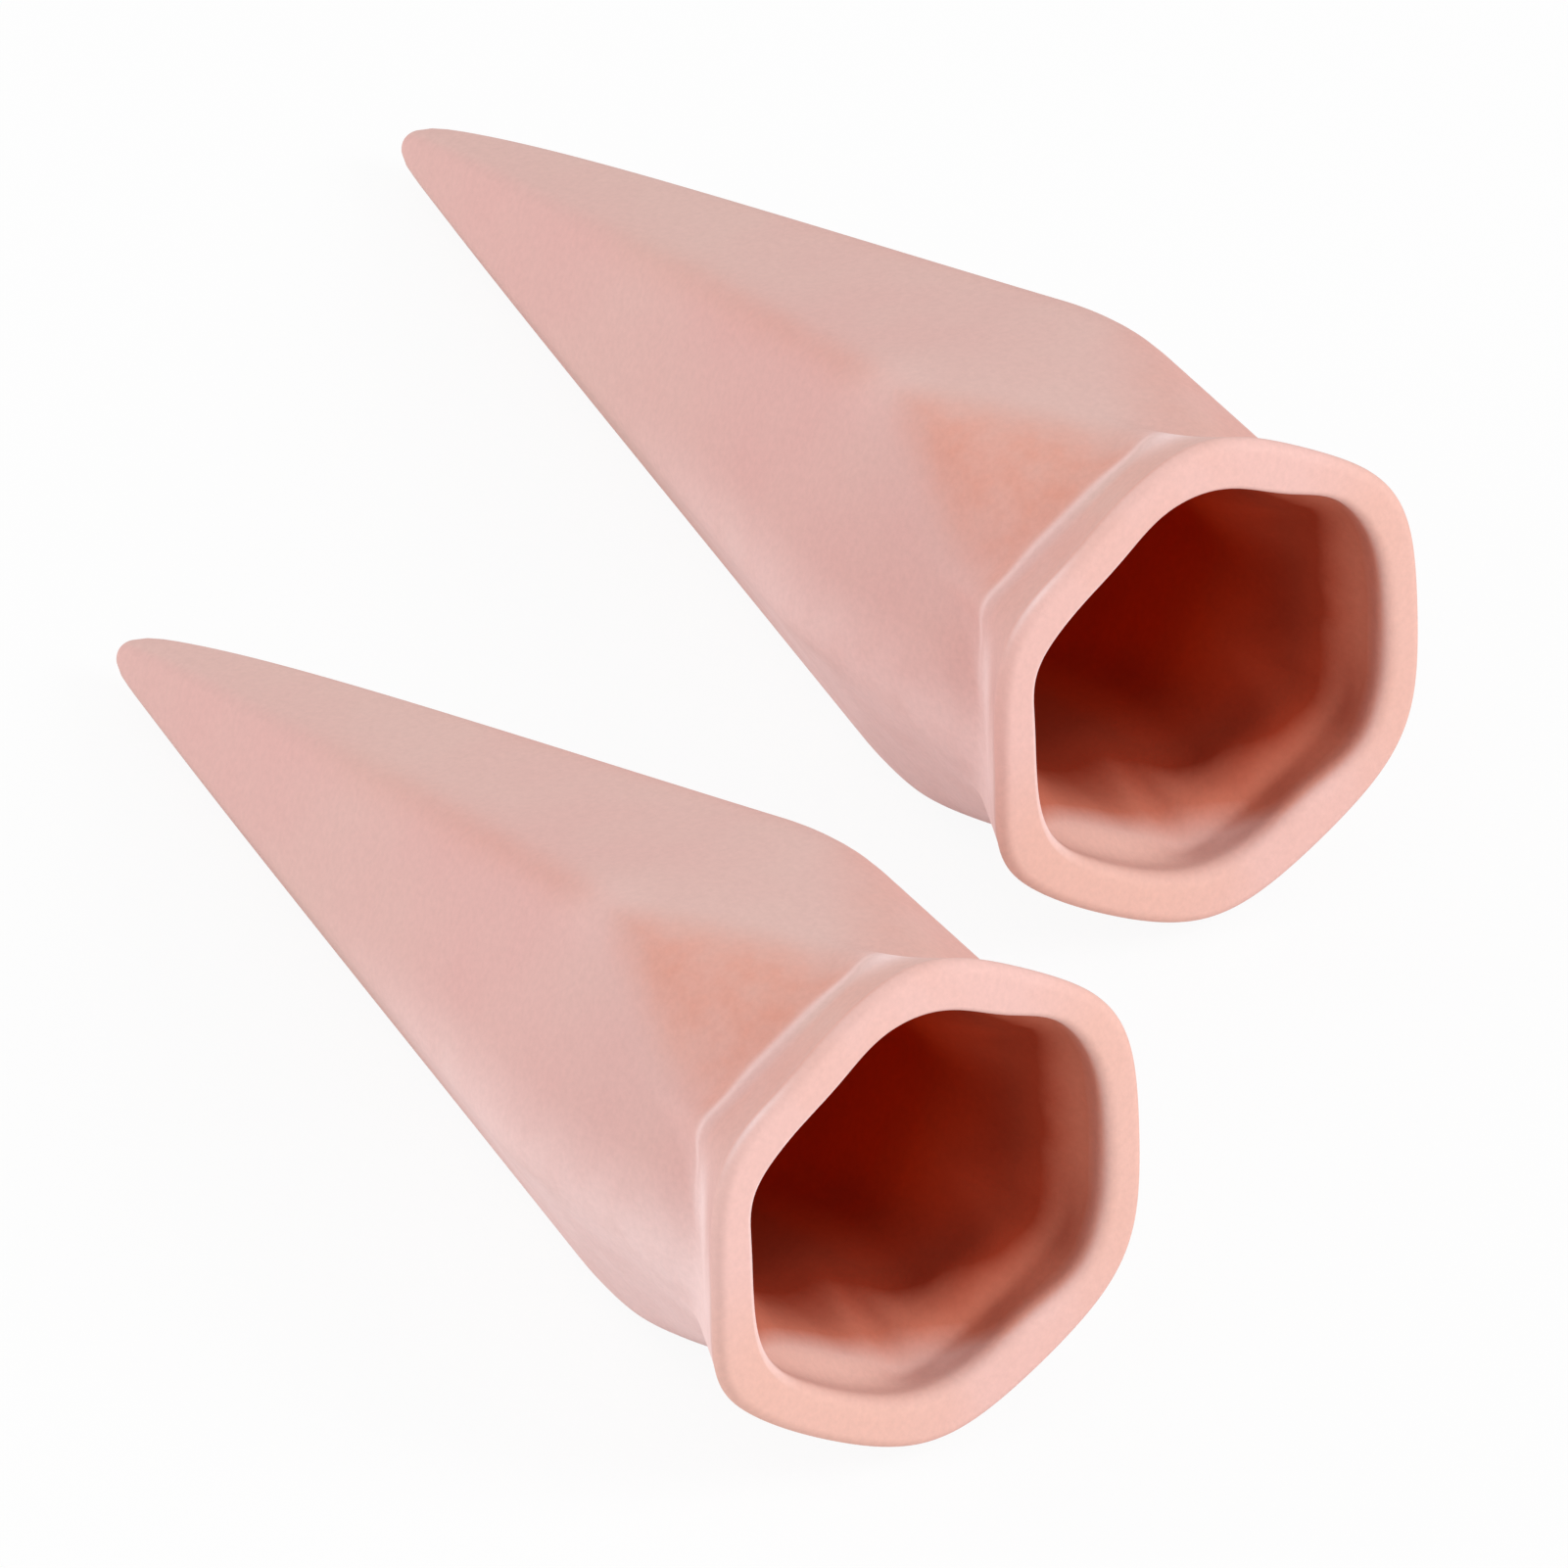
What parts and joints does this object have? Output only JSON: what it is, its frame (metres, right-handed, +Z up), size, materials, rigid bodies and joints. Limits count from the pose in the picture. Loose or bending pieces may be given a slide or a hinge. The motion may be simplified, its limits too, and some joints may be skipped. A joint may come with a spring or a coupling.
{
  "type": "self watering spike",
  "caption": "Unglazed clay watering spikes: hollow tapering six-sided bodies with blunt tips and flared hexagonal mouths that take an upturned bottle and seep water into soil.",
  "frame": {"origin": "middle of the pair on the surface that both spikes lie on", "axes": "+Z up from that surface, -Y the way both mouths face, +X from the front spike to the rear spike"},
  "size_m": [0.1242, 0.1976, 0.0549],
  "materials": {
    "terracotta": "matte unglazed fired clay, soft pink-orange"
  },
  "bodies": {
    "rear": {"rear_spike": "terracotta"},
    "front": {"front_spike": "terracotta"}
  },
  "joints": [
    {"name": "front_spike_lift", "type": "slide", "parent": "rear", "child": "front", "axis": [0, 0, 1], "range_m": [0, 0.1]}
  ]
}
